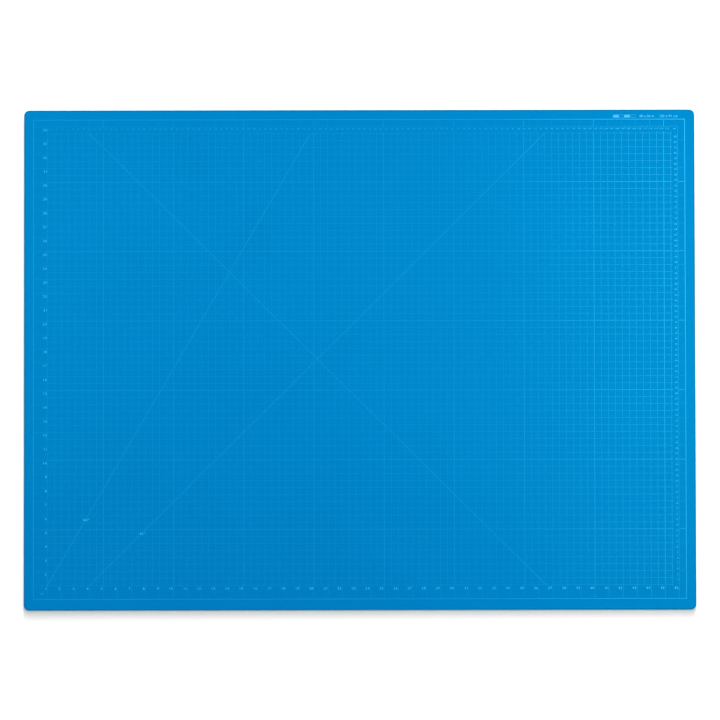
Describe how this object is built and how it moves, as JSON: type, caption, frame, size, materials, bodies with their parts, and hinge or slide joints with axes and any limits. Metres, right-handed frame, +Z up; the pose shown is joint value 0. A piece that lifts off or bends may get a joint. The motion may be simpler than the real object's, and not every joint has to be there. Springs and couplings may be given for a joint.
{
  "type": "self-healing cutting mat",
  "caption": "Large flat laminated cutting mat with a printed half-inch grid, inch and centimetre rulers and angle guides.",
  "frame": {"origin": "centre of the outline on the underside, where the mat lies on a bench", "axes": "+X along the long side towards the centimetre side ruler, +Y along the short side towards the centimetre top ruler, +Z up out of the printed face"},
  "size_m": [1.216, 0.914, 0.003],
  "materials": {
    "cutting_skin": "fine pebble grain, satin",
    "tie_ply": "cut edge",
    "core_ply": "cut edge",
    "ink": "screen printed, satin"
  },
  "bodies": {
    "root": {"top_cutting_skin": "cutting_skin", "upper_tie_ply": "tie_ply", "rigid_core": "core_ply", "lower_tie_ply": "tie_ply", "underside_skin": "cutting_skin", "border_line": "ink", "ruler_base_lines": "ink", "inch_verticals": "ink", "inch_horizontals": "ink", "half_inch_verticals": "ink", "half_inch_horizontals": "ink", "five_inch_verticals": "ink", "five_inch_horizontals": "ink", "rising_45_line": "ink", "falling_45_line": "ink", "rising_60_line": "ink", "angle_labels": "ink", "bottom_inch_numerals": "ink", "left_inch_numerals": "ink", "top_cm_numerals": "ink", "side_cm_numerals": "ink", "top_cm_ticks": "ink", "side_cm_ticks": "ink", "unit_labels": "ink", "scale_bar": "ink", "size_legend": "ink"}
  },
  "joints": []
}
